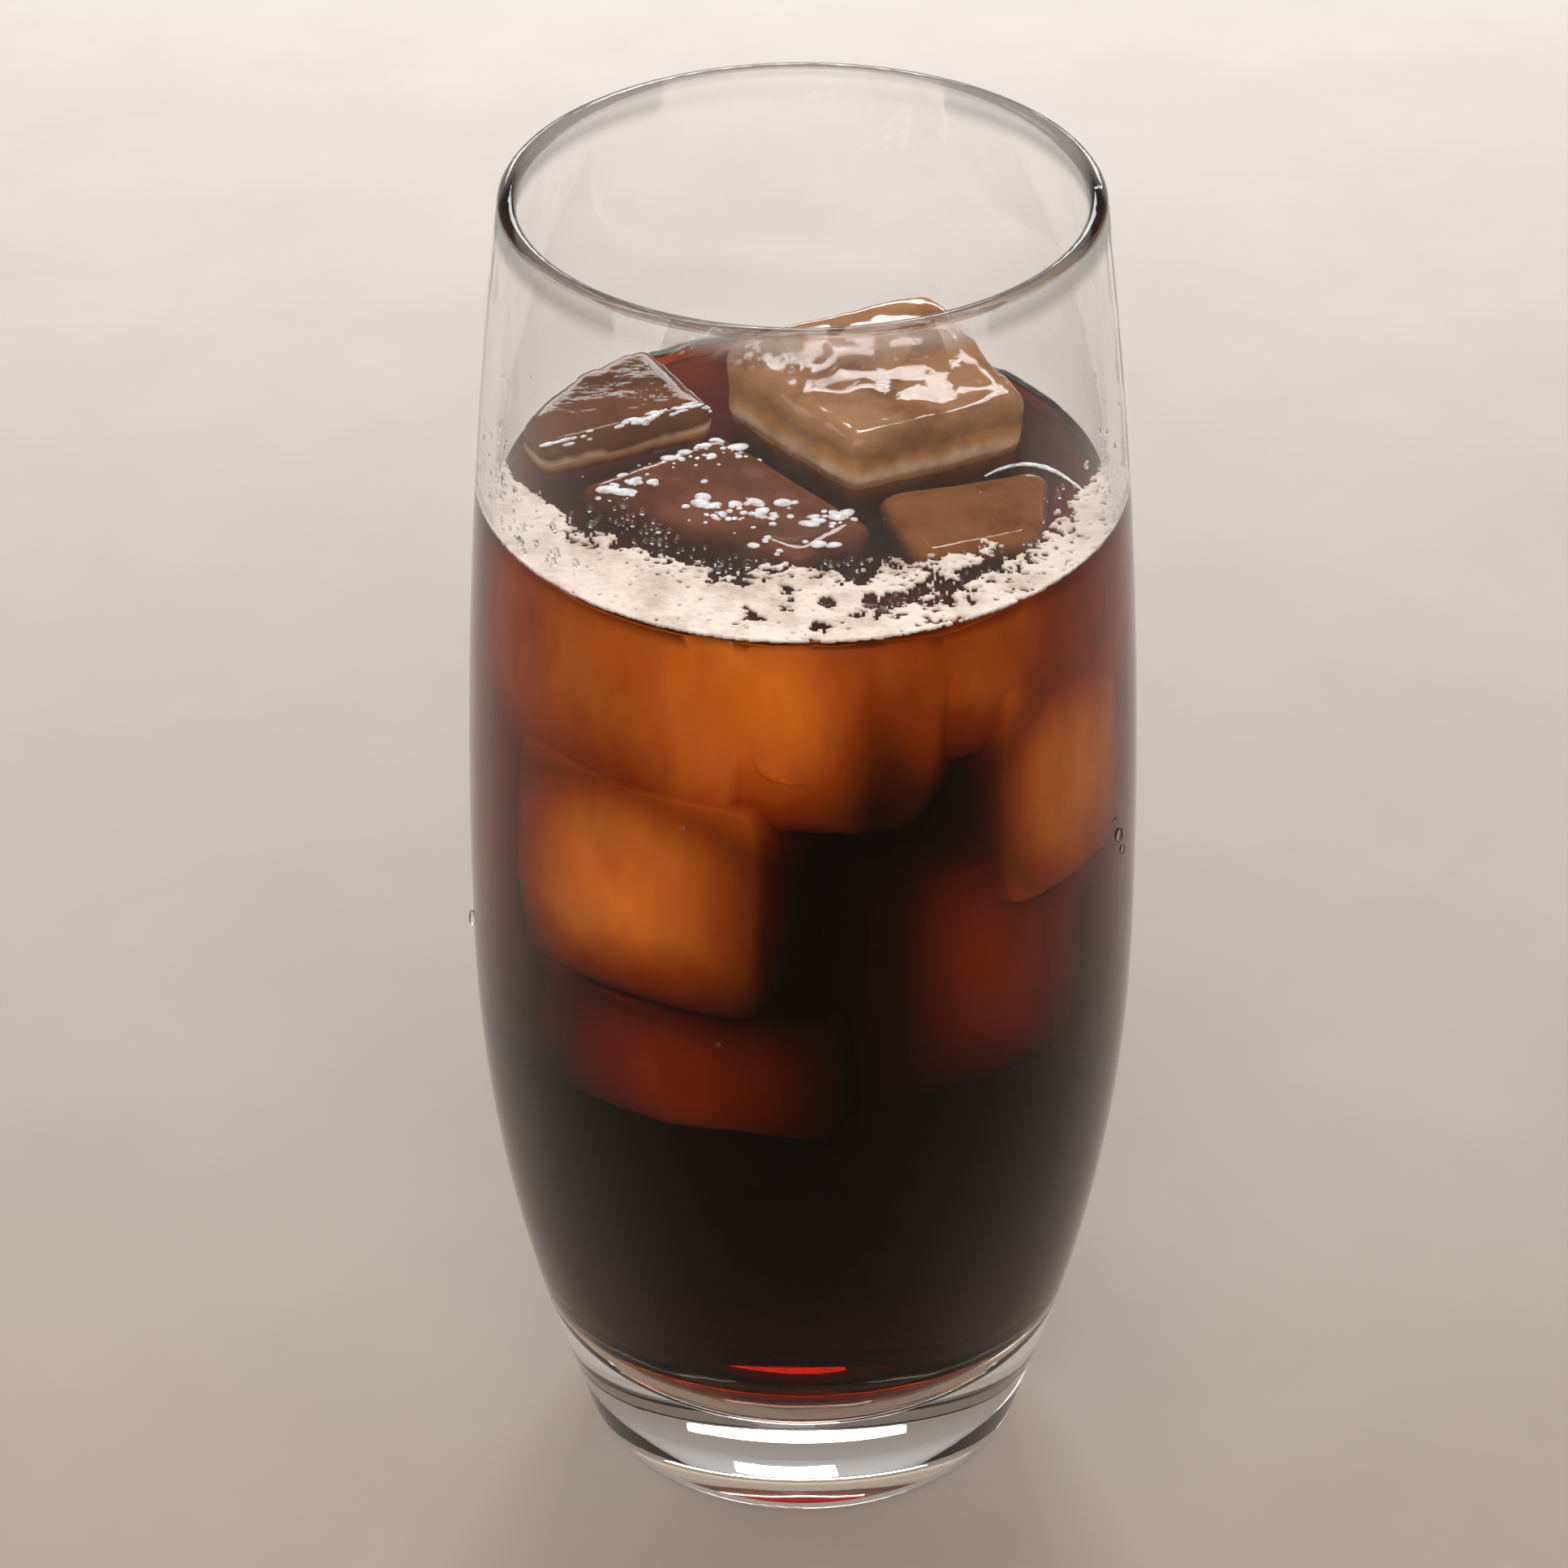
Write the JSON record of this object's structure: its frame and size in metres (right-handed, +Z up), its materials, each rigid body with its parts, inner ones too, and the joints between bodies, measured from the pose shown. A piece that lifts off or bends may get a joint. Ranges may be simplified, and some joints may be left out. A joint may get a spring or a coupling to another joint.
{
  "type": "iced coffee",
  "caption": "Tall barrel-shaped tumbler of black iced coffee, with ice cubes at the surface and a crescent of pale froth along the front wall.",
  "frame": {"origin": "centre of the foot's underside, on the plane that the glass stands on", "axes": "+Z up along the glass's axis; the side that faces the viewer is towards -Y, and +X is to that viewer's right"},
  "size_m": [0.0706, 0.0706, 0.15],
  "materials": {
    "clear_glass": "clear polished",
    "coffee": "black coffee, clear at its edges",
    "froth": "fine-bubbled froth",
    "ice": "wet melting ice, stained by the coffee"
  },
  "bodies": {
    "root": {"glass": "clear_glass", "coffee": "coffee", "froth": "froth", "ice_back": "ice", "ice_left": "ice", "ice_front": "ice", "ice_right": "ice"}
  },
  "joints": []
}
